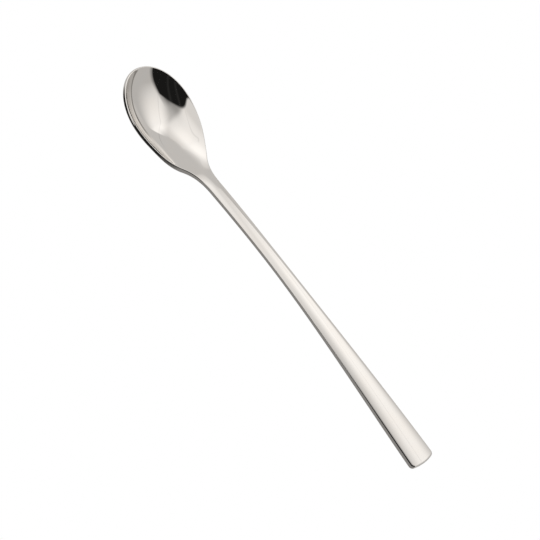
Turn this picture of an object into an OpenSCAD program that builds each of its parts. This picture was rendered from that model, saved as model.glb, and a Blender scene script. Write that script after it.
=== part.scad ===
// Iced tea spoon, forged, pressed and polished from one blank of stainless steel.
// It lies as it does on a table: the belly of the bowl and the lower edge of the
// handle's end touch z = 0. X runs from the tip of the bowl to the end of the
// handle, Y across, and the origin is under the middle of the length.
//
// The spoon is worked out as one bent sheet of changing thickness. The edge line is
// its outline, in plan and in height. The bowl is a dish pressed into the sheet.
// The steel has its thickness below the sheet, a crown above it on the handle, and
// a round along its edge.

/* [Overall] */
// Length over all
spoon_l = 195; // [175:1:220]

/* [Bowl] */
// Width between the edge lines, where the bowl is widest
bowl_w = 28.1; // [24:0.1:34]
// From the tip to the widest place
widest_at = 18.5; // [15:0.1:22]
// Depth of the dish below the edge line
bowl_depth = 6.6; // [4:0.1:8.5]
// Thickness of the bowl's wall
bowl_wall = 1.3; // [0.9:0.05:1.5]
// Angle at which the rim rises towards the tip
rim_angle = 10.9; // [8:0.1:16]

/* [Neck] */
// From the tip to the shoulder, where the bowl's sides turn into the neck
shoulder_at = 43; // [40:0.1:47]
// Width between the edge lines at the shoulder
shoulder_w = 12.4; // [10:0.1:15]
// Angle at which each side closes in at the shoulder
shoulder_angle = 35.5; // [28:0.5:44]
// From the tip to the place where the rim starts to bend up
bend_at = 35; // [34:0.1:42]
// From the tip to the end of the neck
neck_at = 58; // [54:0.1:66]
// Height of the neck's end above the start of the bend
neck_rise = 1; // [0.4:0.1:3]
// Width of the neck
neck_w = 6.2; // [5.6:0.1:9]
// Thickness of the neck
neck_t = 2.1; // [1.6:0.1:3]
// Angle at which the handle leaves the neck
neck_angle = 4.1; // [1:0.1:7]

/* [Handle] */
// From the tip to the waist, where the handle is narrowest
waist_at = 87; // [74:0.1:100]
// Width of the waist
waist_w = 5.9; // [5:0.1:8]
// Thickness of the waist at its sides
waist_t = 1.9; // [1.5:0.1:3]
// Height of the crown across the waist
waist_crown = 0.25; // [0.1:0.05:0.8]
// Width of the handle's end
end_w = 12.4; // [9:0.1:16]
// Thickness of the handle's end at its sides
end_t = 2.7; // [2.4:0.1:4.5]
// Height of the crown across the handle's end
end_crown = 0.55; // [0.2:0.05:1.5]
// Height of the handle's end above the start of the bend
end_rise = -0.9; // [-4:0.1:1]
// Angle at which the handle drops at its end
end_angle = 3.5; // [1:0.1:8]
// Angle at which each side spreads at the handle's end
end_spread = 1.2; // [0:0.05:3]
// How far the end bows out between its corners
end_bow = 0.55; // [0.2:0.05:1.2]
// Radius of the end's corners in plan
corner_r = 1.2; // [0.6:0.05:2]

/* [Edges] */
// Radius along the edges of the neck
neck_edge_r = 0.45; // [0.2:0.05:0.7]
// Radius along the edges of the waist
waist_edge_r = 0.35; // [0.2:0.05:0.6]
// Radius along the edges of the handle's end
end_edge_r = 0.75; // [0.3:0.05:1.1]

/* [Fineness] */
// Stations from the tip to the widest place
tip_steps = 13; // [8:1:20]
// Stations from the widest place to the end of the neck
bowl_steps = 26; // [16:1:36]
// Stations from the neck to the corners of the end
handle_steps = 24; // [14:1:32]
// Stations round one corner
corner_steps = 4; // [3:1:6]
// Stations from a corner to the middle of the end
bow_steps = 3; // [2:1:6]
// Strips from the middle line to the edge line
face_steps = 8; // [5:1:12]
// Strips round the upper or the lower half of an edge
edge_steps = 4; // [3:1:6]

/* [Hidden] */

// The most that one round of an edge takes of the thickness
edge_round_share = 0.45;
// How full the dish is: a low share gives a flat floor and steep walls
dish_share = 1;
// Where the dish starts to fade and the wall to thicken, on the way from the widest
// place to the shoulder, and where the dish is gone, on the way on to the neck's end
fade_start_share = 0.1;
thicken_share = 0.4;
fade_end_share = 0.75;
// The middle line starts and stops short of the tip and the end, so that the
// strips fan out there: shares of widest_at and of end_w
spine_start_share = 0.42;
spine_end_share = 0.5;
// The last stations of the middle line are drawn up: where that starts, and how
// much of the line the end's own stations share, in stretches of spine_gap
draw_up_share = 2.5;
tail_share = 0.15;
// Step along the surface for taking a slope
probe = 0.001;
// Tries at finding the level that the spoon rests on
level_tries = 6;

steel = "#c8c6c2";

// Shapes of one variable

// A smooth blend from y0 to y1 with end slopes m0 and m1, level beyond its ends
function blend(x, x0, x1, y0, y1, m0 = 0, m1 = 0) =
    let (h = x1 - x0)
    let (t = min(1, max(0, (x - x0) / h)))
    (1 - t) * (1 - t) * ((1 + 2 * t) * y0 + t * h * m0)
    + t * t * ((3 - 2 * t) * y1 - (1 - t) * h * m1);

// The same in a row: values v at the four places at
function along(s, at, v) =
    s < at[1] ? blend(s, at[0], at[1], v[0], v[1])
    : s < at[2] ? blend(s, at[1], at[2], v[1], v[2])
    : blend(s, at[2], at[3], v[2], v[3]);

function unit(v) = v / norm(v);

// Sizes that follow from the named ones

bowl_half = bowl_w / 2;
shoulder_half = shoulder_w / 2;
neck_half = neck_w / 2 - neck_edge_r;
waist_half = waist_w / 2 - waist_edge_r;
end_half = end_w / 2 - end_edge_r;
rim_r = bowl_wall * edge_round_share;
thicken_at = widest_at + (shoulder_at - widest_at) * thicken_share;
fade_start = widest_at + (shoulder_at - widest_at) * fade_start_share;
fade_end = shoulder_at + (neck_at - shoulder_at) * fade_end_share;
// The rim stands out past the edge line by its round and by its wall's lean
tip_lean = atan(bowl_depth * (1 + 1 / dish_share) * 2 / widest_at);
tip_reach = rim_r + (bowl_wall - rim_r) * sin(tip_lean);
edge_l = spoon_l - tip_reach - end_edge_r;

// Outline in plan

// Square of the half width, as a share of the widest: round to the widest place,
// then closing to the shoulder
function fill(s) =
    s < widest_at ? 1 - pow((widest_at - s) / widest_at, 2)
    : s < shoulder_at ? blend(s, widest_at, shoulder_at, 1,
        pow(shoulder_half / bowl_half, 2), 0,
        -2 * shoulder_half * tan(shoulder_angle) / pow(bowl_half, 2))
    : pow(edge_half(s) / bowl_half, 2);

function edge_half(s) =
    s < shoulder_at ? bowl_half * sqrt(fill(s))
    : s < neck_at ? blend(s, shoulder_at, neck_at, shoulder_half, neck_half,
        -tan(shoulder_angle), 0)
    : s < waist_at ? blend(s, neck_at, waist_at, neck_half, waist_half)
    : blend(s, waist_at, edge_l, waist_half, end_half, 0, tan(end_spread));

// The end: a corner's round meets the bow where both have turned by end_turn
end_turn = atan(2 * end_bow / (end_half - corner_r));
corner_in = corner_r * (1 - sin(end_turn));
bow_rise = (end_half - corner_in) * tan(end_turn) / 2;
bow_s = edge_l - bow_rise;
bow_half = edge_half(bow_s) - corner_in;
corner_s = bow_s - corner_r * cos(end_turn);

function tip_point(k) =
    let (s = widest_at * (1 - cos(90 * k / tip_steps)))
    [s, edge_half(s)];

function corner_point(k) =
    let (a = 90 - (90 - end_turn) * k / corner_steps)
    let (s = corner_s + corner_r * cos(a))
    [s, edge_half(s) - corner_r * (1 - sin(a))];

function bow_point(k) =
    let (t = 1 - k / bow_steps)
    [bow_s + bow_rise * (1 - t * t), bow_half * t];

body_s = concat(
    [for (k = [1 : bowl_steps]) widest_at + (neck_at - widest_at) * k / bowl_steps],
    [for (k = [1 : handle_steps]) neck_at + (corner_s - neck_at) * k / handle_steps]);

edge_line = concat(
    [for (k = [0 : tip_steps]) tip_point(k)],
    [for (s = body_s) [s, edge_half(s)]],
    [for (k = [1 : corner_steps]) corner_point(k)],
    [for (k = [1 : bow_steps]) bow_point(k)]);

// Middle line: one place for each station of the edge line

spine_start = widest_at * spine_start_share;
spine_gap = end_w * spine_end_share;
spine_end = edge_l - spine_gap;
draw_from = corner_s - spine_gap * draw_up_share;
draw_to = spine_end - spine_gap * tail_share;
// Eases away from the start and reaches the pace of the edge line
tip_ease = (3 - PI / 2 / (1 - spine_start_share)) / 2;
end_steps = corner_steps + bow_steps;

function tip_spine(t) =
    spine_start + (widest_at - spine_start) * (tip_ease * t + (1 - tip_ease) * t * t * t);

function body_spine(s) =
    s < draw_from ? s
    : draw_from + (draw_to - draw_from) * (s - draw_from) / (corner_s - draw_from);

spine = concat(
    [for (k = [0 : tip_steps]) tip_spine(k / tip_steps)],
    [for (s = body_s) body_spine(s)],
    [for (k = [1 : end_steps]) draw_to + (spine_end - draw_to) * k / end_steps]);

last = len(edge_line) - 1;

// Heights

function edge_z(s) =
    s < bend_at ? (bend_at - s) * tan(rim_angle)
    : s < neck_at ? blend(s, bend_at, neck_at, 0, neck_rise, -tan(rim_angle), tan(neck_angle))
    : blend(s, neck_at, edge_l, neck_rise, end_rise, tan(neck_angle), -tan(end_angle));

function dish(f) = (1 + dish_share) * f / (f + dish_share);

function sheet_z(s, y) =
    edge_z(s) - bowl_depth * blend(s, fade_start, fade_end, 1, 0)
    * dish(fill(s) - pow(y / bowl_half, 2));

function crown(s, y) =
    s <= shoulder_at ? 0
    : (s < waist_at ? blend(s, shoulder_at, waist_at, 0, waist_crown)
        : blend(s, waist_at, edge_l, waist_crown, end_crown))
    * max(0, 1 - pow(y / edge_half(s), 2));

function sheet_normal(s, y) =
    let (ds = (sheet_z(s + probe, y) - sheet_z(s - probe, y)) / (2 * probe))
    let (dy = (sheet_z(s, y + probe) - sheet_z(s, y - probe)) / (2 * probe))
    unit([-ds, -dy, 1]);

function thickness(s) =
    along(s, [thicken_at, shoulder_at, waist_at, edge_l], [bowl_wall, neck_t, waist_t, end_t]);

function edge_r(s) =
    along(s, [thicken_at, neck_at, waist_at, edge_l],
        [rim_r, neck_edge_r, waist_edge_r, end_edge_r]);

// Points of the surface

function on_top(s, y) = [s, y, sheet_z(s, y) + crown(s, y)];

function below(s, y) = [s, y, sheet_z(s, y)] - sheet_normal(s, y) * thickness(s);

// Direction out of the edge line in plan, square to it
function outward(i) =
    i == 0 ? [-1, 0]
    : i == last ? [1, 0]
    : let (a = edge_line[i] - edge_line[i - 1])
      let (b = edge_line[i + 1] - edge_line[i])
      let (t = unit(unit(a) * norm(b) + unit(b) * norm(a)))
      [-t.y, t.x];

// The edge's section at station i: a round, a flat and a round, from the upper face
// to the lower one. The upper round starts with the slope of the crown, and the
// lower one is as much smaller as keeps the flat between them square to the sheet.
function edge_section(i) =
    let (p = edge_line[i])
    let (n = sheet_normal(p.x, p.y))
    let (o = outward(i))
    let (out = unit([o.x, o.y, -(n.x * o.x + n.y * o.y) / n.z]))
    let (q = p - o * probe)
    let (start = atan((crown(q.x, q.y) - crown(p.x, p.y)) / probe))
    let (r = min(edge_r(p.x), thickness(p.x) * edge_round_share))
    let (low_r = r * (1 - sin(start)))
    let (top = on_top(p.x, p.y) - r * (n * cos(start) + out * sin(start)))
    let (foot = below(p.x, p.y) + low_r * n)
    let (step = (90 - start) / edge_steps)
    concat(
        [for (k = [1 : edge_steps]) let (a = start + step * k)
            top + r * (n * cos(a) + out * sin(a))],
        [for (k = [0 : edge_steps - 1]) let (a = 90 + 90 * k / edge_steps)
            foot + low_r * (n * cos(a) + out * sin(a))]);

// One side of the section at station i, from the middle of the upper face round the
// edge to the middle of the lower face
function half_section(i) =
    let (m = [spine[i], 0])
    let (p = edge_line[i])
    concat(
        [for (k = [0 : face_steps]) let (q = m + (p - m) * k / face_steps) on_top(q.x, q.y)],
        edge_section(i),
        [for (k = [face_steps : -1 : 0]) let (q = m + (p - m) * k / face_steps) below(q.x, q.y)]);

half_count = 2 * face_steps + 2 * edge_steps + 2;
turn = half_count - 1;
ring = 2 * turn;

function mirrored(p) = [p.x, -p.y, p.z];

// Stations in order: a half section at the tip, rings, a half section at the end
raw_points = [
    for (i = [0 : last])
        let (h = half_section(i))
        each i == 0 || i == last ? h
            : concat(h, [for (j = [turn - 1 : -1 : 1]) mirrored(h[j])])
];

// Laying it down: the line that the bowl and the handle's end both rest on

bowl_points = [for (p = raw_points) if (p.x < neck_at) p];
end_points = [for (p = raw_points) if (p.x > waist_at) p];

function lowest(points, slope) =
    let (h = [for (p = points) p.z - slope * p.x])
    points[search(min(h), h)[0]];

function level(slope, tries) =
    tries == 0 ? slope
    : let (d = lowest(end_points, slope) - lowest(bowl_points, slope))
      level(d.z / d.x, tries - 1);

lean = atan(level(0, level_tries));
turned = [
    for (p = raw_points)
        [p.x * cos(lean) + p.z * sin(lean), p.y, p.z * cos(lean) - p.x * sin(lean)]
];
turned_x = [for (p = turned) p.x];
turned_z = [for (p = turned) p.z];
middle = (min(turned_x) + max(turned_x)) / 2;
floor_z = min(turned_z);
points = [for (p = turned) p - [middle, 0, floor_z]];

// Number of the point at station i and place j of its ring
function at(i, j) =
    i == 0 ? min(j, ring - j)
    : i == last ? half_count + (last - 1) * ring + min(j, ring - j)
    : half_count + (i - 1) * ring + j % ring;

// Each patch is split in two along a diagonal. At the tip and at the end the line of
// stations lies on the middle line itself, so there the half that would have its
// three corners on one line takes the other diagonal.
faces = [
    for (i = [0 : last - 1])
        for (j = [0 : ring - 1])
            let (a = at(i, j))
            let (b = at(i, j + 1))
            let (c = at(i + 1, j + 1))
            let (d = at(i + 1, j))
            let (upper = min(j, ring - 1 - j) < turn / 2)
            let (flip = upper ? i == last - 1 : i == 0)
            each (j < turn) != flip ? [[a, b, c], [a, c, d]] : [[a, b, d], [b, c, d]]
];

module spoon() {
    color(steel) polyhedron(points, faces);
}

spoon();
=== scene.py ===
"""Iced tea spoon: the polished steel body, a plain studio round it, and the camera."""

import math

import bpy
import numpy as np
from mathutils import Matrix, Vector


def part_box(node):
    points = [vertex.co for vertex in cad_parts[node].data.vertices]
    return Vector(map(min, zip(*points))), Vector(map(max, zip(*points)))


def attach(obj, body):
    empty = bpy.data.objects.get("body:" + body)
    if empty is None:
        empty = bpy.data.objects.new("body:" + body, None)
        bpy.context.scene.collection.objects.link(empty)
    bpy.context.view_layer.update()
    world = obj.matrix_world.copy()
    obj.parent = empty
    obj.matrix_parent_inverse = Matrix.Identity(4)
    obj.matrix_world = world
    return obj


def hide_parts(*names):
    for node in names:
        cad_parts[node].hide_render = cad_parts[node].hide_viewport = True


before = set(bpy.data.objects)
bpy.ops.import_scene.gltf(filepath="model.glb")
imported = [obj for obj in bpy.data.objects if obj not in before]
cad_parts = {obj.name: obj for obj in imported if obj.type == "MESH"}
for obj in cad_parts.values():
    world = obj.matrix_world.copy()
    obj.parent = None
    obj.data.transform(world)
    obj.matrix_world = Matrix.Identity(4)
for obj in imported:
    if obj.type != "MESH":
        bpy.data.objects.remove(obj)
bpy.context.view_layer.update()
SPOON_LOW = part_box("spoon")[0]

bl_info = {
    "name": "Iced Tea Spoon",
    "version": (1, 0, 0),
    "blender": (4, 5, 0),
    "location": "View3D > Sidebar > Spoon",
    "description": "Builds a long-handled spoon of polished steel and a studio to see it in",
    "category": "Object",
}

MILLIMETRE = 1e-3
MICROMETRE = 1e-6

# Sizes and colours that a user would change


def length(name, mm, description):
    """A length property, given in millimetres and kept in metres."""
    metres = mm * MILLIMETRE
    return bpy.props.FloatProperty(
        name=name, description=description, default=metres, unit="LENGTH", precision=5
    )


def angle(name, degrees, description):
    """An angle property, given in degrees and kept in radians."""
    return bpy.props.FloatProperty(
        name=name, description=description, default=math.radians(degrees), subtype="ANGLE"
    )


def number(name, value, description, top=1.0):
    """A plain number from zero to top."""
    return bpy.props.FloatProperty(
        name=name, description=description, default=value, min=0.0, max=top
    )


def count(name, value, description):
    """A whole number above zero."""
    return bpy.props.IntProperty(name=name, description=description, default=value, min=1)


def colour(name, value, description):
    """A linear colour."""
    return bpy.props.FloatVectorProperty(
        name=name, description=description, default=value, size=3, subtype="COLOR", min=0, max=1
    )


class SpoonShape(bpy.types.PropertyGroup):
    """Sizes of the spoon, measured from the tip of its edge line."""

    spoon_l: length("Length", 195, "Length over all")
    bowl_w: length("Bowl width", 28.1, "Width between the edge lines at the widest place")
    widest_at: length("Widest at", 18.5, "From the tip to the widest place")
    bowl_depth: length("Bowl depth", 6.6, "Depth of the dish below the edge line")
    bowl_wall: length("Bowl wall", 1.3, "Thickness of the bowl's wall")
    rim_angle: angle("Rim angle", 10.2, "Angle at which the rim rises towards the tip")
    shoulder_at: length("Shoulder at", 43, "From the tip to the shoulder")
    shoulder_w: length("Shoulder width", 12.4, "Width between the edge lines at the shoulder")
    shoulder_angle: angle("Shoulder angle", 35.5, "Angle at which each side closes in")
    bend_at: length("Bend at", 35, "From the tip to the start of the bend")
    neck_at: length("Neck at", 58, "From the tip to the end of the neck")
    neck_rise: length("Neck rise", 1, "Height of the neck's end above the bend's start")
    neck_w: length("Neck width", 6.2, "Width of the neck")
    neck_t: length("Neck thickness", 2.1, "Thickness of the neck")
    neck_angle: angle("Neck angle", 4.1, "Angle at which the handle leaves the neck")
    waist_at: length("Waist at", 87, "From the tip to the handle's waist")
    waist_w: length("Waist width", 5.9, "Width of the waist")
    waist_t: length("Waist thickness", 1.9, "Thickness of the waist at its sides")
    waist_crown: length("Waist crown", 0.25, "Height of the crown across the waist")
    end_w: length("End width", 12.4, "Width of the handle's end")
    end_t: length("End thickness", 2.7, "Thickness of the end at its sides")
    end_crown: length("End crown", 0.55, "Height of the crown across the end")
    end_rise: length("End rise", -0.9, "Height of the end above the bend's start")
    end_angle: angle("End angle", 3.5, "Angle at which the handle drops at its end")
    end_spread: angle("End spread", 1.2, "Angle at which each side spreads at the end")
    end_bow: length("End bow", 0.55, "How far the end bows out between its corners")
    corner_r: length("Corner radius", 1.2, "Radius of the end's corners in plan")
    neck_edge_r: length("Neck edge radius", 0.45, "Radius along the edges of the neck")
    waist_edge_r: length("Waist edge radius", 0.35, "Radius along the edges of the waist")
    end_edge_r: length("End edge radius", 0.75, "Radius along the edges of the end")
    neck_crown: length("Neck crown", 0.3, "Height of the crown across the end of the neck")
    rim_out: length("Rim out", 0.45, "How far the dish is drawn out past the solid's edge line")
    rim_r: length("Rim radius", 0.3, "Radius of the rim's upper corner")
    rim_foot_r: length("Rim foot radius", 0.4, "Radius of the rim's lower corner")
    rim_lean: angle("Rim lean", 35, "How far the rim's cut edge leans in under the bowl")
    edge_round: number("Edge round", 0.45, "The most that a round takes of the thickness")
    dish: number("Dish share", 1.0, "A low share gives a flat floor and steep walls", 4.0)
    fade_start: number("Fade start", 0.1, "Where the dish starts to fade, on the way to the shoulder")
    thicken: number("Thicken", 0.4, "Where the wall starts to thicken, on the way to the shoulder")
    fade_end: number("Fade end", 0.75, "Where the dish is gone, on the way through the neck")
    spine_start: number("Spine start", 0.42, "Start of the middle line, as a share of widest_at")
    spine_end: number("Spine end", 0.5, "Gap after the middle line, as a share of end_w")
    draw_up: number("Draw up", 2.5, "Gaps over which the middle line is drawn up", 5.0)
    tail: number("Tail", 0.15, "Gaps that the end's own stations share")


class SpoonMesh(bpy.types.PropertyGroup):
    """How finely the surface is drawn."""

    tip_steps: count("Tip", 44, "Stations from the tip to the widest place")
    bowl_steps: count("Bowl", 96, "Stations from the widest place to the end of the neck")
    handle_steps: count("Handle", 120, "Stations from the neck to the corners")
    corner_steps: count("Corner", 12, "Stations round one corner")
    bow_steps: count("Bow", 14, "Stations from a corner to the middle of the end")
    face_steps: count("Face", 30, "Strips from the middle line to the edge line")
    edge_steps: count("Edge", 9, "Strips round the upper or the lower half of an edge")


class SpoonFinish(bpy.types.PropertyGroup):
    """Colour and polish of the steel, with heights in micrometres."""

    steel: colour("Steel", (0.822, 0.812, 0.797), "Reflection colour of the polished steel")
    warm: colour("Warm steel", (0.827, 0.808, 0.785), "Its colour where the polish runs warmer")
    bowl_roughness: number("Bowl roughness", 0.02, "Roughness of the mirror-polished bowl")
    handle_roughness: number("Handle roughness", 0.06, "Roughness of the handle's long polish")
    least_roughness: number("Least roughness", 0.01, "Roughness that the best polish keeps")
    polish_start: length("Polish start", 20, "Where the long polish starts, before the neck's end")
    polish_full: length("Polish full", 10, "Where it is full, past the neck's end")
    bowl_lines: number("Bowl lines", 0.1, "Share of the polishing lines' height left in the bowl")
    line_width: length("Line width", 0.16, "Width of the finest polishing lines")
    line_length: length("Line length", 22, "Length of the finest polishing lines")
    line_height: number("Line height", 0.08, "Height of the finest polishing lines")
    line_change: number("Line change", 0.05, "How far they change the roughness")
    broad_width: length("Broad line width", 0.96, "Width of the broad polishing lines")
    broad_length: length("Broad line length", 73.3, "Length of the broad polishing lines")
    broad_height: number("Broad line height", 0.6, "Height of the broad polishing lines")
    wave_size: length("Wave size", 7, "Size of the soft waves left by polishing")
    wave_height: number("Wave height", 4.0, "Height of the soft waves", 10.0)
    smudge_length: length("Smudge length", 9.1, "Length of the faint smudges")
    smudge_width: length("Smudge width", 6.25, "Width of the faint smudges")
    smudge_change: number("Smudge change", 0.03, "How far they change the roughness")


class SpoonStudio(bpy.types.PropertyGroup):
    """Camera and light."""

    elevation: angle("Elevation", 55, "Height of the camera above the table's level")
    azimuth: angle("Azimuth", 12, "Turn of the camera towards the handle's end")
    roll: angle("Roll", 42.2, "Roll of the camera about its line of sight")
    distance: length("Distance", 1000, "From the camera to the middle of the spoon")
    lens: number("Lens", 166.6, "Focal length in millimetres", 500.0)
    sensor: number("Sensor", 36.0, "Width of the sensor in millimetres", 100.0)
    aim_right: length("Aim right", -0.715, "Place of the frame's middle, to the right of the origin")
    aim_up: length("Aim up", 0.737, "Place of the frame's middle, above the origin")
    tent_colour: colour("Tent colour", (1.0, 0.967, 0.93), "Colour of the tent's light in the steel")
    even_colour: colour("Even colour", (1.0, 1.0, 1.0), "Colour of the even light")
    even_light: number("Even light", 1.12, "Strength of the even light", 2.0)
    floor_size: length("Floor size", 6000, "Width of the floor")
    floor_gap: length("Floor gap", 0.05, "Gap between the spoon and the floor")
    floor_colour: colour("Floor colour", (1.0, 1.0, 1.0), "Colour of the floor")
    floor_light: number("Floor light", 1.0, "Strength of the floor's own light")


# The form of the spoon: the solid's, with a finer rim and a slight crown on the neck


def blend(x, x0, x1, y0, y1, m0=0.0, m1=0.0):
    """A smooth blend from y0 to y1 with end slopes m0 and m1, level beyond its ends."""
    h = x1 - x0
    t = np.clip((x - x0) / h, 0, 1)
    start = (1 - t) ** 2 * ((1 + 2 * t) * y0 + t * h * m0)
    return start + t**2 * ((3 - 2 * t) * y1 - (1 - t) * h * m1)


def unit(v):
    """Vectors of length one along the last axis."""
    return v / np.linalg.norm(v, axis=-1, keepdims=True)


class Form:
    """The sheet, its edge line and its thickness, worked out from the named sizes.

    s runs along the spoon from the tip of the edge line, and y across it from the middle.
    """

    # Step over which slopes are measured, and rounds in which the spoon settles
    probe = 1e-6
    settle_rounds = 6

    def __init__(self, shape):
        for key in SpoonShape.__annotations__:
            setattr(self, key, getattr(shape, key))
        self.bowl_half = self.bowl_w / 2
        self.shoulder_half = self.shoulder_w / 2
        self.neck_half = self.neck_w / 2 - self.neck_edge_r
        self.waist_half = self.waist_w / 2 - self.waist_edge_r
        self.end_half = self.end_w / 2 - self.end_edge_r
        solid_r = self.bowl_wall * self.edge_round
        to_shoulder = self.shoulder_at - self.widest_at
        self.thicken_at = self.widest_at + to_shoulder * self.thicken
        self.fade_from = self.widest_at + to_shoulder * self.fade_start
        self.fade_to = self.shoulder_at + (self.neck_at - self.shoulder_at) * self.fade_end
        lean = math.atan(self.bowl_depth * (1 + 1 / self.dish) * 2 / self.widest_at)
        reach = solid_r + (self.bowl_wall - solid_r) * math.sin(lean)
        self.edge_l = self.spoon_l - reach - self.end_edge_r

    def along(self, s, at, v):
        """Values v at the four places at, blended in between."""
        first = blend(s, at[0], at[1], v[0], v[1])
        second = blend(s, at[1], at[2], v[1], v[2])
        third = blend(s, at[2], at[3], v[2], v[3])
        return np.where(s < at[1], first, np.where(s < at[2], second, third))

    def edge_half(self, s):
        """Half the width between the edge lines."""
        closing = -math.tan(self.shoulder_angle)
        bowl = self.bowl_half * np.sqrt(np.maximum(self.bowl_fill(s), 0))
        neck = blend(
            s, self.shoulder_at, self.neck_at, self.shoulder_half, self.neck_half, closing, 0
        )
        waist = blend(s, self.neck_at, self.waist_at, self.neck_half, self.waist_half)
        spread = math.tan(self.end_spread)
        end = blend(s, self.waist_at, self.edge_l, self.waist_half, self.end_half, 0, spread)
        after_neck = np.where(s < self.waist_at, waist, end)
        after_shoulder = np.where(s < self.neck_at, neck, after_neck)
        return np.where(s < self.shoulder_at, bowl, after_shoulder)

    def bowl_fill(self, s):
        """Square of the bowl's half width, as a share of the widest."""
        tip = 1 - ((self.widest_at - s) / self.widest_at) ** 2
        at_shoulder = (self.shoulder_half / self.bowl_half) ** 2
        slope = -2 * self.shoulder_half * math.tan(self.shoulder_angle) / self.bowl_half**2
        side = blend(s, self.widest_at, self.shoulder_at, 1, at_shoulder, 0, slope)
        return np.where(s < self.widest_at, tip, side)

    def fill(self, s):
        """The same, carried on along the neck and the handle."""
        beyond = (self.edge_half(s) / self.bowl_half) ** 2
        return np.where(s < self.shoulder_at, self.bowl_fill(s), beyond)

    def edge_z(self, s):
        """Height of the edge line above the start of the bend."""
        rim, neck = math.tan(self.rim_angle), math.tan(self.neck_angle)
        bend = blend(s, self.bend_at, self.neck_at, 0, self.neck_rise, -rim, neck)
        drop = -math.tan(self.end_angle)
        handle = blend(s, self.neck_at, self.edge_l, self.neck_rise, self.end_rise, neck, drop)
        after_bend = np.where(s < self.neck_at, bend, handle)
        return np.where(s < self.bend_at, (self.bend_at - s) * rim, after_bend)

    def sheet_z(self, s, y):
        """Height of the sheet, with the dish pressed into it."""
        f = self.fill(s) - (y / self.bowl_half) ** 2
        full = (1 + self.dish) * f / (f + self.dish)
        return self.edge_z(s) - self.bowl_depth * full * blend(s, self.fade_from, self.fade_to, 1, 0)

    def crown(self, s, y):
        """Height of the crown above the sheet."""
        at = (self.shoulder_at, self.neck_at, self.waist_at, self.edge_l)
        high = self.along(s, at, (0, self.neck_crown, self.waist_crown, self.end_crown))
        across = 1 - (y / np.maximum(self.edge_half(s), self.probe)) ** 2
        return high * np.maximum(0, across)

    def thickness(self, s):
        """Thickness below the sheet."""
        at = (self.thicken_at, self.shoulder_at, self.waist_at, self.edge_l)
        return self.along(s, at, (self.bowl_wall, self.neck_t, self.waist_t, self.end_t))

    def edge_r(self, s):
        """Radius along the edge."""
        at = (self.thicken_at, self.neck_at, self.waist_at, self.edge_l)
        return self.along(s, at, (self.rim_r, self.neck_edge_r, self.waist_edge_r, self.end_edge_r))

    def in_bowl(self, s):
        """One along the bowl's rim, falling to nothing at the shoulder."""
        return blend(s, self.thicken_at, self.shoulder_at, 1, 0)

    def normal(self, s, y):
        """Upward normal of the sheet."""
        h = self.probe
        ds = (self.sheet_z(s + h, y) - self.sheet_z(s - h, y)) / (2 * h)
        dy = (self.sheet_z(s, y + h) - self.sheet_z(s, y - h)) / (2 * h)
        return unit(np.stack([-ds, -dy, np.ones_like(ds)], -1))

    def on_top(self, s, y):
        """Points of the upper face."""
        return np.stack([s, y, self.sheet_z(s, y) + self.crown(s, y)], -1)

    def below(self, s, y):
        """Points of the lower face."""
        sheet = np.stack([s, y, self.sheet_z(s, y)], -1)
        return sheet - self.normal(s, y) * self.thickness(s)[..., None]

    def lines(self, steps):
        """The edge line and the middle line, station by station."""
        turn = math.atan(2 * self.end_bow / (self.end_half - self.corner_r))
        corner_in = self.corner_r * (1 - math.sin(turn))
        bow_rise = (self.end_half - corner_in) * math.tan(turn) / 2
        bow_s = self.edge_l - bow_rise
        corner_s = bow_s - self.corner_r * math.cos(turn)

        t = np.linspace(0, 1, steps.tip_steps + 1)
        tip_s = self.widest_at * (1 - np.cos(t * math.pi / 2))
        bowl_s = np.linspace(self.widest_at, self.neck_at, steps.bowl_steps + 1)[1:]
        handle_s = np.linspace(self.neck_at, corner_s, steps.handle_steps + 1)[1:]
        body_s = np.concatenate([bowl_s, handle_s])
        a = np.linspace(math.pi / 2, turn, steps.corner_steps + 1)[1:]
        round_s = corner_s + self.corner_r * np.cos(a)
        round_y = self.edge_half(round_s) - self.corner_r * (1 - np.sin(a))
        b = np.linspace(1, 0, steps.bow_steps + 1)[1:]
        edge_s = np.concatenate([tip_s, body_s, round_s, bow_s + bow_rise * (1 - b**2)])
        edge_y = np.concatenate([self.edge_half(np.r_[tip_s, body_s]), round_y, round_y[-1] * b])

        start = self.widest_at * self.spine_start
        gap = self.end_w * self.spine_end
        # The middle line comes to the widest place at the edge line's own pace
        ease = (3 - math.pi / 2 / (1 - self.spine_start)) / 2
        tip_m = start + (self.widest_at - start) * (ease * t + (1 - ease) * t**3)
        draw_from, end = corner_s - gap * self.draw_up, self.edge_l - gap
        draw_to = end - gap * self.tail
        pace = (draw_to - draw_from) / (corner_s - draw_from)
        body_m = np.where(body_s < draw_from, body_s, draw_from + pace * (body_s - draw_from))
        end_m = np.linspace(draw_to, end, steps.corner_steps + steps.bow_steps + 1)[1:]
        return np.stack([edge_s, edge_y], -1), np.concatenate([tip_m, body_m, end_m])

    def half_sections(self, steps):
        """One side of the section at every station, from the middle of the upper face
        round the edge to the middle of the lower face."""
        edge, middle = self.lines(steps)
        before, after = edge[1:-1] - edge[:-2], edge[2:] - edge[1:-1]
        size_b = np.linalg.norm(before, axis=1, keepdims=True)
        size_a = np.linalg.norm(after, axis=1, keepdims=True)
        along = unit(unit(before) * size_a + unit(after) * size_b)
        out = np.concatenate([[(-1, 0)], np.stack([-along[:, 1], along[:, 0]], -1), [(1, 0)]])

        bowl = self.in_bowl(edge[:, :1])
        edge = edge + self.directions(edge, out)[1][:, :2] * self.rim_out * bowl
        p_s, p_y = edge[:, 0], edge[:, 1]
        n, o = self.directions(edge, out)
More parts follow.
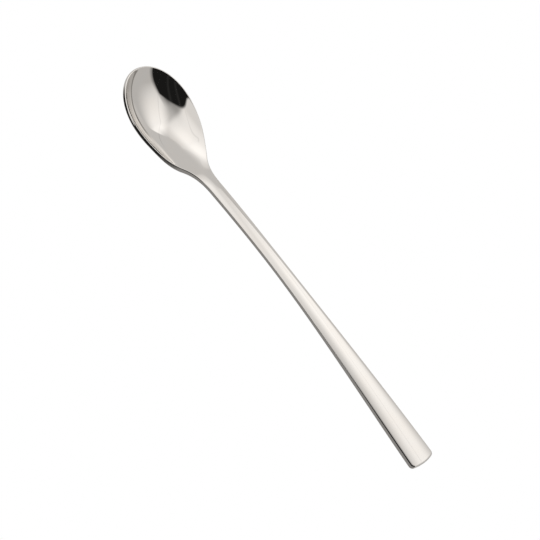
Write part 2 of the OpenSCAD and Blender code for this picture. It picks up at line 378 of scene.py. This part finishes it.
        # The upper corner starts at the slope at which the crown comes down to the edge
        inner = self.crown(p_s - out[:, 0] * self.probe, p_y - out[:, 1] * self.probe)
        start = np.arctan((inner - self.crown(p_s, p_y)) / self.probe)[:, None]
        t = self.thickness(p_s)[:, None]
        lean = self.rim_lean * bowl
        r = np.minimum(self.edge_r(p_s)[:, None], t * self.edge_round)
        low_r = r * (1 - np.sin(start)) + (self.rim_foot_r - self.rim_r) * bowl
        # Between the corners the edge is cut flat, and its lean carries the foot in
        cut = t - low_r * (1 - np.sin(lean)) - r * (np.cos(start) + np.sin(lean))
        under = (r - low_r) * np.cos(lean) - r * np.sin(start) - cut * np.tan(lean)
        foot = edge + o[:, :2] * under

        top_face = self.face(middle, edge, steps, self.on_top)
        low_face = self.face(middle, foot, steps, self.below)
        low_n, low_o = self.directions(foot, out)
        top_c = top_face[:, -1] - r * (n * np.cos(start) + o * np.sin(start))
        foot_c = low_face[:, -1] + low_r * low_n
        k = np.linspace(0, 1, steps.edge_steps + 1)
        turned = math.pi / 2 + lean
        upper = self.arc(top_c, r, n, o, start + (turned - start) * k[1:])
        lower = self.arc(foot_c, low_r, low_n, low_o, turned + (math.pi - turned) * k[:-1])
        return np.concatenate([top_face, upper, lower, low_face[:, ::-1]], 1)

    def directions(self, line, out):
        """The sheet's normal along a line, and the way out of it along the sheet."""
        n = self.normal(line[:, 0], line[:, 1])
        down = -(n[:, 0] * out[:, 0] + n[:, 1] * out[:, 1]) / n[:, 2]
        return n, unit(np.concatenate([out, down[:, None]], -1))

    def face(self, middle, line, steps, surface):
        """Points of a face from the middle line to this line."""
        k = np.linspace(0, 1, steps.face_steps + 1)
        s = middle[:, None] + (line[:, :1] - middle[:, None]) * k
        return surface(s, line[:, 1:] * k)

    def arc(self, centre, r, n, o, a):
        """Points round centre at the angles a from n towards o."""
        ring = n[:, None] * np.cos(a)[..., None] + o[:, None] * np.sin(a)[..., None]
        return centre[:, None] + r[:, None] * ring

    def lay_down(self, points):
        """Turns the points so that the belly and the handle's end rest on one level."""
        flat = points.reshape(-1, 3)
        bowl, end = flat[flat[:, 0] < self.neck_at], flat[flat[:, 0] > self.waist_at]
        slope = 0.0
        for _ in range(self.settle_rounds):
            low = [part[np.argmin(part[:, 2] - slope * part[:, 0])] for part in (bowl, end)]
            slope = (low[1][2] - low[0][2]) / (low[1][0] - low[0][0])
        c, s = math.cos(math.atan(slope)), math.sin(math.atan(slope))
        x, y, z = flat.T
        laid = np.stack([c * x + s * z, y, c * z - s * x], 1)
        middle = (laid[:, 0].min() + laid[:, 0].max()) / 2
        laid -= (middle, 0, laid[:, 2].min())
        return laid.reshape(points.shape)


def spoon_surface(form, steps):
    """Points and four-sided faces of the closed surface."""
    half = form.lay_down(form.half_sections(steps))
    stations, side = half.shape[:2]
    turn = side - 1
    ring = 2 * turn
    flip = np.array([1.0, -1.0, 1.0])
    rings = np.concatenate([half, half[:, turn - 1 : 0 : -1] * flip], 1)
    last = stations - 1
    points = np.concatenate([half[0], rings[1:last].reshape(-1, 3), half[last]])

    j = np.arange(ring + 1)
    folded = np.minimum(j, ring - j)
    number = side + (np.arange(stations)[:, None] - 1) * ring + j % ring
    number[0] = folded
    number[last] = side + (last - 1) * ring + folded
    quads = [number[:-1, :-1], number[1:, :-1], number[1:, 1:], number[:-1, 1:]]
    return points, np.stack(quads, -1).reshape(-1, 4)


# Shader maths


class Value:
    """A socket that can be used in sums."""

    def __init__(self, shader, socket):
        self.shader, self.socket = shader, socket

    def maths(self, operation, *others, first=None):
        """A Math node on this value and the others, or with another value first."""
        values = (self, *others) if first is None else (first, self)
        sockets = dict(enumerate(values))
        return self.shader.node("ShaderNodeMath", {"operation": operation}, sockets)

    def __add__(self, other):
        return self.maths("ADD", other)

    __radd__ = __add__

    def __mul__(self, other):
        return self.maths("MULTIPLY", other)

    __rmul__ = __mul__

    def __sub__(self, other):
        return self.maths("SUBTRACT", other)

    def __rsub__(self, other):
        return self.maths("SUBTRACT", first=other)

    def __truediv__(self, other):
        return self.maths("DIVIDE", other)

    def step(self, low, high):
        """A smooth step from 0 at low to 1 at high."""
        settings = {"interpolation_type": "SMOOTHSTEP"}
        sockets = {"Value": self, "From Min": low, "From Max": high}
        return self.shader.node("ShaderNodeMapRange", settings, sockets)

    def fall(self, low, high):
        """A smooth step from 1 at low to 0 at high."""
        return 1 - self.step(low, high)

    def ramp(self, low, high):
        """A straight ramp from 0 at low to 1 at high."""
        sockets = {"Value": self, "From Min": low, "From Max": high}
        return self.shader.node("ShaderNodeMapRange", None, sockets)

    def hump(self, at, width):
        """One at this value, falling smoothly to 0 a width away."""
        return 1 - (self - at).maths("ABSOLUTE").step(0.0, width)

    def most(self, other):
        """The greater of the two."""
        return self.maths("MAXIMUM", other)

    def least(self, other):
        """The smaller of the two."""
        return self.maths("MINIMUM", other)


class Shader:
    """A node tree that is emptied and filled."""

    def __init__(self, tree):
        self.tree = tree
        tree.nodes.clear()

    def node(self, kind, settings=None, sockets=None, out=0):
        """A node of this type, with its settings and the values or links of its sockets."""
        made = self.tree.nodes.new(kind)
        for key, value in (settings or {}).items():
            setattr(made, key, value)
        for key, value in (sockets or {}).items():
            if isinstance(value, Value):
                self.tree.links.new(value.socket, made.inputs[key])
            else:
                made.inputs[key].default_value = value
        return Value(self, made.outputs[out]) if made.outputs else made

    def mix(self, factor, a, b):
        """A colour between a and b."""
        sockets = {0: factor, 6: a, 7: b}
        return self.node("ShaderNodeMix", {"data_type": "RGBA"}, sockets, out=2)

    def stretched(self, vector, scales):
        """The vector with each of its parts scaled."""
        sockets = {0: vector, 1: scales}
        return self.node("ShaderNodeVectorMath", {"operation": "MULTIPLY"}, sockets)

    def noise(self, vector, detail=2.0, rough=0.5):
        """Noise about nought, between -0.5 and 0.5, with features one unit wide."""
        sockets = {"Vector": vector, "Scale": 1.0, "Detail": detail, "Roughness": rough}
        return self.node("ShaderNodeTexNoise", None, sockets) - 0.5

    def streaks(self, place, along, across, **settings):
        """Noise with features this long and this wide."""
        scales = (1 / along, 1 / across, 1 / across)
        return self.noise(self.stretched(place, scales), **settings)


def rgba(c):
    """A colour property with alpha."""
    return (*c, 1.0)


# Where a smudge starts to turn the steel warmer, and where it has done so
WARM_EDGE = (-0.15, 0.2)


def polished_steel(finish, form):
    """Mirror polish in the bowl, a long fine polish along the handle."""
    material = bpy.data.materials.new("polished_steel")
    material.use_nodes = True
    sh = Shader(material.node_tree)
    place = sh.node("ShaderNodeTexCoord", out="Object")
    x = sh.node("ShaderNodeSeparateXYZ", None, {0: place}, out="X")
    neck_x = SPOON_LOW[0] + form.neck_at
    handle = x.step(neck_x - finish.polish_start, neck_x + finish.polish_full)

    fine = sh.streaks(place, finish.line_length, finish.line_width, detail=3.0)
    broad = sh.streaks(place, finish.broad_length, finish.broad_width)
    wave = sh.streaks(place, finish.wave_size, finish.wave_size, detail=1.0)
    smudge = sh.streaks(place, finish.smudge_length, finish.smudge_width, detail=4.0, rough=0.6)

    tint = sh.mix(smudge.step(*WARM_EDGE), rgba(finish.steel), rgba(finish.warm))
    rough = finish.bowl_roughness + handle * (finish.handle_roughness - finish.bowl_roughness)
    rough = rough + smudge * finish.smudge_change + fine * handle * finish.line_change

    lines = fine * finish.line_height + broad * finish.broad_height
    left = handle * (1 - finish.bowl_lines) + finish.bowl_lines
    height = (lines * left + wave * finish.wave_height) * MICROMETRE
    sockets = {"Strength": 1.0, "Distance": 1.0, "Height": height}
    bump = sh.node("ShaderNodeBump", None, sockets)
    body = {
        "Base Color": tint,
        "Metallic": 1.0,
        "Roughness": rough.most(finish.least_roughness),
        "Normal": bump,
    }
    surface = sh.node("ShaderNodeBsdfPrincipled", None, body)
    sh.node("ShaderNodeOutputMaterial", None, {"Surface": surface})
    return material


# The studio


class Tent:
    """The white tent round the spoon, as it shows in the steel.

    The place of a direction is how far it lies along the spoon and across it: both are
    nought straight up, and it is one away at the level of the table. An edge is where it
    starts and where it ends, a stripe is its middle and its width, and a line is its place
    at nought and its slope. Near is the camera's side, and left is the side of the bowl.
    """

    # The cloth, and where its bright parts start
    cloth_light = 0.54
    bright_most = 0.7
    bright_edge = (-0.95, -0.35)

    # The bright crest, a slanting line over the spoon
    crest_light = 0.61
    crest_line = (0.34, -1.25)
    crest_near_edge = (0.01, 0.27)
    crest_far_edge = (0.17, 1)
    crest_fade = (0, 0.51)
    crest_width_line = (0.31, 1.06)
    crest_width_least = 0.12
    crest_width_most = 0.8

    # The lit wall past the tip, with a glow on it
    wall_light = 0.25
    wall_edge = (-0.08, 0.04)
    wall_far_edge = (0.28, 0.38)
    glow_light = 0.16
    glow_stripe = (-0.32, 0.31)

    # The bright strip along the wall
    strip_light = 0.96
    strip_edge = (-0.79, 0.16)
    strip_near_edge = (-0.38, 0.13)
    strip_far_edge = (0.14, 0.31)

    # The bright band low on the far side
    band_light = 0.74
    band_stripe = (0.82, 0.26)
    band_left_edge = (-0.32, -0.22)
    band_right_edge = (-0.18, 0.3)

    # The panel that hides the bright parts
    panel_light = 0.08
    panel_line = (-0.55, 1.05)
    panel_edge = (-0.02, 0.02)
    panel_near_edge = (0.21, 0.36)
    panel_far_edge = (0.7, 1.07)

    # The shade over the opening
    shade_depth = 0.31
    shade_edge = (0.09, 0.22)
    shade_width_line = (0.02, 0.16)
    shade_width_least = 0.02

    # The soft round shade on the handle's side
    spot_depth = 0.29
    spot_along = 0.2
    spot_across = -0.22
    spot_size = 0.4
    spot_squash = 0.8

    # The fold low on the far side
    fold_depth = 0.3
    fold_line = (0.33, -0.08)
    fold_stripe = (0, 0.15)
    fold_edge = (0.78, 0.82)

    # The seam over the spoon
    seam_depth = 0.16
    seam_line = (0.31, -1.1)
    seam_stripe = (0, 0.012)
    seam_ends = (0.2, 0.3)

    # The seam over the bowl, which curves away
    bowl_seam_depth = 0.14
    bowl_seam_along = -0.26
    bowl_seam_curve = 0.75
    bowl_seam_stripe = (0, 0.013)
    bowl_seam_near_edge = (-0.56, -0.45)
    bowl_seam_far_edge = (-0.12, -0.03)

    # The dark opening on the near side, paler where the steel shows it twice over
    opening_light = 0.011
    opening_twice_light = 0.3
    opening_line = (0.06, -0.27)
    opening_far_edge = (-0.025, 0.025)
    opening_left = -0.06
    opening_left_from = -0.69
    opening_left_curve = 0.69
    opening_left_edge = (-0.03, 0.03)

    # Two faint streaks in the opening
    streak_light = 0.012
    streak_slope = -0.9
    streaks = ((-0.02, 0.07), (-0.35, 0.09))

    # The black below the table's level. It reaches higher to the left, and past both of
    # its ends it draws back to the near side
    table_light = 0.014
    table_edge = (-0.01, 0.04)
    table_far_edge = (0.2, 0.5)
    table_right = 0.4
    table_left = -0.3
    table_lifts = ((0.04, (-0.1, 0.02)), (0.16, (-0.6, -0.38)))

    # The grey below it, straight down and towards both ends
    grey_light = 0.26
    grey_edge = (-0.44, -0.34)
    grey_right_edge = (0.59, 0.99)
    grey_left_edge = (-1.2, -0.92)

    # Just over one, so that straight down has a place too
    all_way_down = 1.001

    def __init__(self, sh):
        way = sh.node("ShaderNodeTexCoord", out="Generated")
        split = {key: sh.node("ShaderNodeSeparateXYZ", None, {0: way}, out=key) for key in "XYZ"}
        self.x, self.y, self.z = split.values()
        self.along = self.x / (self.z + self.all_way_down)
        self.across = self.y / (self.z + self.all_way_down)
        self.twice = sh.node("ShaderNodeLightPath", out="Glossy Depth").step(1, 2)

    def on(self, line, at):
        """The line's place at this distance along it."""
        return line[0] + line[1] * at

    def crest(self):
        """Light of the crest."""
        past = self.across - self.on(self.crest_line, self.along)
        width = self.on(self.crest_width_line, self.along)
        width = width.most(self.crest_width_least).least(self.crest_width_most)
        far = (past / width).fall(*self.crest_far_edge)
        near = (0 - past).fall(*self.crest_near_edge)
        return far.least(near) * (1 - self.along.ramp(*self.crest_fade)) * self.crest_light

    def wall(self):
        """Light of the wall past the tip."""
        lit = self.along.fall(*self.wall_edge) * self.across.fall(*self.wall_far_edge)
        return lit * (self.wall_light + self.glow_light * self.across.hump(*self.glow_stripe))

    def strip(self):
        """Light of the strip along that wall."""
        sides = self.across.step(*self.strip_near_edge) * self.across.fall(*self.strip_far_edge)
        return self.along.fall(*self.strip_edge) * sides * self.strip_light

    def band(self):
        """Light of the band low on the far side."""
        ends = self.along.step(*self.band_left_edge) * self.along.fall(*self.band_right_edge)
        return self.across.hump(*self.band_stripe) * ends * self.band_light

    def panel(self):
        """One on the panel."""
        past = self.along - self.on(self.panel_line, self.across)
        sides = self.across.step(*self.panel_near_edge) * self.across.fall(*self.panel_far_edge)
        return past.fall(*self.panel_edge) * sides

    def shade(self):
        """What the shade over the opening takes."""
        width = self.on(self.shade_width_line, self.along).most(self.shade_width_least)
        over = (self.past_opening() / width).fall(0, 1)
        return self.along.step(*self.shade_edge) * over * self.shade_depth

    def spot(self):
        """What the round shade takes."""
        along = self.along - self.spot_along
        across = (self.across - self.spot_across) / self.spot_squash
        away = (along * along + across * across).maths("SQRT")
        return away.hump(0, self.spot_size) * self.spot_depth

    def fold(self):
        """What the fold takes."""
        past = self.along - self.on(self.fold_line, self.across)
        return past.hump(*self.fold_stripe) * self.across.step(*self.fold_edge) * self.fold_depth

    def seam(self):
        """What the seam over the spoon takes."""
        past = self.across - self.on(self.seam_line, self.along)
        ends = self.along.maths("ABSOLUTE").fall(*self.seam_ends)
        return past.hump(*self.seam_stripe) * ends * self.seam_depth

    def bowl_seam(self):
        """What the seam over the bowl takes."""
        curve = self.bowl_seam_curve * self.across * self.across
        past = self.along - self.bowl_seam_along - curve
        near = self.across.step(*self.bowl_seam_near_edge)
        far = self.across.fall(*self.bowl_seam_far_edge)
        return past.hump(*self.bowl_seam_stripe) * near * far * self.bowl_seam_depth

    def past_opening(self):
        """How far a direction lies past the opening's far side."""
        return self.across - self.on(self.opening_line, self.along)

    def opening(self):
        """One in the opening."""
        down = (self.across - self.opening_left_from).most(0)
        past_left = self.along - self.opening_left - self.opening_left_curve * down * down
        far = self.past_opening().fall(*self.opening_far_edge)
        return far * past_left.step(*self.opening_left_edge)

    def dark(self):
        """Light in the opening."""
        light = self.twice * self.opening_twice_light + self.opening_light
        for place, width in self.streaks:
            past = self.along - self.on((place, self.streak_slope), self.across)
            light = light + past.hump(0, width) * self.streak_light
        return light

    def below(self):
        """One below the table's level, but not on the far side."""
        height = self.z
        for lift, edge in self.table_lifts:
            height = height - lift * self.along.fall(*edge)
        ends = (self.x - self.table_right).most(0) + (self.table_left - self.x).most(0)
        return height.fall(*self.table_edge) * (self.y + ends).fall(*self.table_far_edge)

    def table(self):
        """Light below the table's level."""
        grey = self.z.fall(*self.grey_edge).most(self.along.step(*self.grey_right_edge))
        grey = grey.most(self.along.fall(*self.grey_left_edge))
        return grey * self.grey_light + self.table_light

    def light(self):
        """The light from every direction."""
        panel = self.panel()
        bright = (self.crest() + self.wall() + self.strip() + self.band()) * (1 - panel)
        bright = bright.least(self.bright_most) * self.along.step(*self.bright_edge)
        taken = self.shade() + self.spot() + self.fold() + self.seam() + self.bowl_seam()
        cloth = self.cloth_light + bright + panel * self.panel_light - taken
        opening = self.opening()
        light = cloth * (1 - opening) + self.dark() * opening
        below = self.below()
        return light * (1 - below) + self.table() * below


def studio_tent(world, studio):
    """Lights the scene evenly, and shows the tent in the steel alone."""
    world.use_nodes = True
    sh = Shader(world.node_tree)
    ray = sh.node("ShaderNodeLightPath", out="Is Glossy Ray")
    strength = ray * Tent(sh).light() + (1 - ray) * studio.even_light
    tint = sh.mix(ray, rgba(studio.even_colour), rgba(studio.tent_colour))
    back = sh.node("ShaderNodeBackground", None, {"Color": tint, "Strength": strength})
    sh.node("ShaderNodeOutputWorld", None, {"Surface": back})


def floor_material(studio):
    """Plain white, lit so evenly that it shows no shadow."""
    material = bpy.data.materials.new("studio_floor")
    material.use_nodes = True
    sh = Shader(material.node_tree)
    sockets = {"Color": rgba(studio.floor_colour), "Strength": studio.floor_light}
    surface = sh.node("ShaderNodeEmission", None, sockets)
    sh.node("ShaderNodeOutputMaterial", None, {"Surface": surface})
    return material


# Operators


def new_object(name, data):
    """An object in the scene's own collection."""
    made = bpy.data.objects.new(name, data)
    bpy.context.scene.collection.objects.link(made)
    return made


class SPOON_OT_body(bpy.types.Operator):
    """Build the spoon's body in place of the plain solid"""

    bl_idname = "spoon.body"
    bl_label = "Spoon Body"

    def execute(self, context):
        scene = context.scene
        form = Form(scene.spoon_shape)
        points, faces = spoon_surface(form, scene.spoon_mesh)
        mesh = bpy.data.meshes.new("spoon_body")
        mesh.from_pydata(points.tolist(), [], faces.tolist())
        if mesh.validate():
            raise RuntimeError("the spoon's surface has broken faces")
        mesh.shade_smooth()
        body = new_object("spoon_body", mesh)
        mesh.materials.append(polished_steel(scene.spoon_finish, form))
        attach(body, "root")
        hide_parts("spoon")
        return {"FINISHED"}


class SPOON_OT_stage(bpy.types.Operator):
    """Lay the floor and light the studio"""

    bl_idname = "spoon.stage"
    bl_label = "Stage"

    def execute(self, context):
        scene = context.scene
        studio = scene.spoon_studio
        half = studio.floor_size / 2
        z = SPOON_LOW[2] - studio.floor_gap
        corners = [(-half, -half, z), (half, -half, z), (half, half, z), (-half, half, z)]
        mesh = bpy.data.meshes.new("studio_floor")
        mesh.from_pydata(corners, [], [(0, 1, 2, 3)])
        mesh.materials.append(floor_material(studio))
        floor = new_object("studio_floor", mesh)
        floor.visible_glossy = False
        scene.world = scene.world or bpy.data.worlds.new("studio_tent")
        studio_tent(scene.world, studio)
        scene.view_settings.view_transform = "Standard"
        return {"FINISHED"}


class SPOON_OT_camera(bpy.types.Operator):
    """Set the camera at the photograph's angle"""

    bl_idname = "spoon.camera"
    bl_label = "Camera"

    def execute(self, context):
        studio = context.scene.spoon_studio
        e, a, r = studio.elevation, studio.azimuth, studio.roll
        back = Vector((math.sin(a) * math.cos(e), -math.cos(a) * math.cos(e), math.sin(e)))
        level = Vector((math.cos(a), math.sin(a), 0))
        rise = back.cross(level)
        right = level * math.cos(r) + rise * math.sin(r)
        up = rise * math.cos(r) - level * math.sin(r)
        data = bpy.data.cameras.new("camera")
        data.lens = studio.lens
        data.sensor_width = studio.sensor
        camera = new_object("camera", data)
        place = right * studio.aim_right + up * studio.aim_up + back * studio.distance
        axes = Matrix((right, up, back)).transposed().to_4x4()
        camera.matrix_world = Matrix.Translation(place) @ axes
        context.scene.camera = camera
        return {"FINISHED"}


class SPOON_PT_panel(bpy.types.Panel):
    """Sizes, finish and the steps of the build"""

    bl_idname = "SPOON_PT_panel"
    bl_label = "Iced Tea Spoon"
    bl_space_type = "VIEW_3D"
    bl_region_type = "UI"
    bl_category = "Spoon"

    def draw(self, context):
        layout = self.layout
        for operator in OPERATORS:
            layout.operator(operator.bl_idname)
        for key, group in GROUPS.items():
            box = layout.box()
            box.label(text=group.__doc__)
            for name in group.__annotations__:
                box.prop(getattr(context.scene, key), name)


OPERATORS = (SPOON_OT_camera, SPOON_OT_body, SPOON_OT_stage)
GROUPS = {
    "spoon_shape": SpoonShape,
    "spoon_mesh": SpoonMesh,
    "spoon_finish": SpoonFinish,
    "spoon_studio": SpoonStudio,
}
CLASSES = (*GROUPS.values(), *OPERATORS, SPOON_PT_panel)


def register():
    """Registers the classes and hangs the sizes on the scene."""
    for cls in CLASSES:
        bpy.utils.register_class(cls)
    for key, group in GROUPS.items():
        setattr(bpy.types.Scene, key, bpy.props.PointerProperty(type=group))


def unregister():
    """Takes them off again."""
    for key in GROUPS:
        delattr(bpy.types.Scene, key)
    for cls in reversed(CLASSES):
        bpy.utils.unregister_class(cls)


def main():
    """Builds everything."""
    register()
    bpy.ops.spoon.camera()
    bpy.ops.spoon.body()
    bpy.ops.spoon.stage()


if __name__ == "__main__":
    main()
